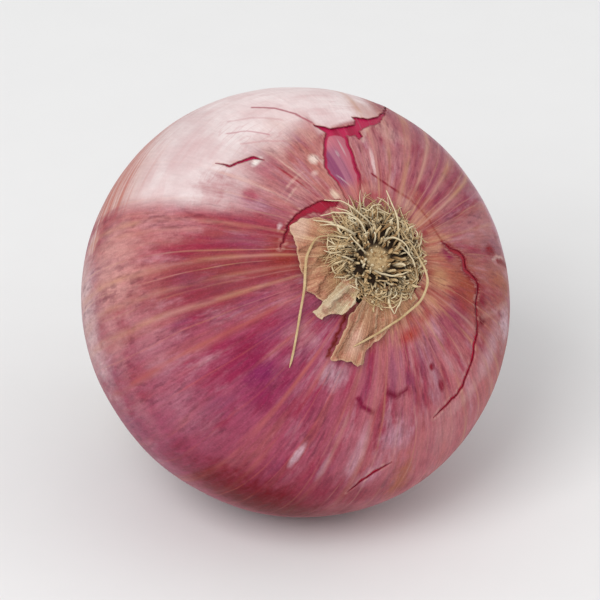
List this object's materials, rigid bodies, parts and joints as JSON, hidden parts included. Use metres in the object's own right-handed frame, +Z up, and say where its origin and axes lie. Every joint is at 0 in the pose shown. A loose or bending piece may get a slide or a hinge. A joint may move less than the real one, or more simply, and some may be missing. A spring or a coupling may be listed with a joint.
{
  "type": "red onion",
  "caption": "Red onion on its side with a papery skin torn open round a dry root tuft; rests on a small flat spot.",
  "frame": {"origin": "on the resting surface, under the middle of the onion's bounding box", "axes": "+Z up; the root end points towards -Y and 41 degrees up, the neck towards +Y and down; X is level, across the bulb's axis"},
  "size_m": [0.0754, 0.0712, 0.0699],
  "materials": {
    "inner_skin": "gloss",
    "papery_skin": "satin",
    "dry_root": "matte",
    "tan_skin": "satin",
    "cream_skin": "satin",
    "peach_skin": "satin"
  },
  "bodies": {
    "root": {"bulb": "inner_skin", "outer_skin": "papery_skin", "root_tuft": "dry_root", "skin_scrap_left": "tan_skin", "skin_scrap_middle": "cream_skin", "skin_scrap_lower": "peach_skin", "root_left": "dry_root", "root_right": "dry_root"}
  },
  "joints": []
}
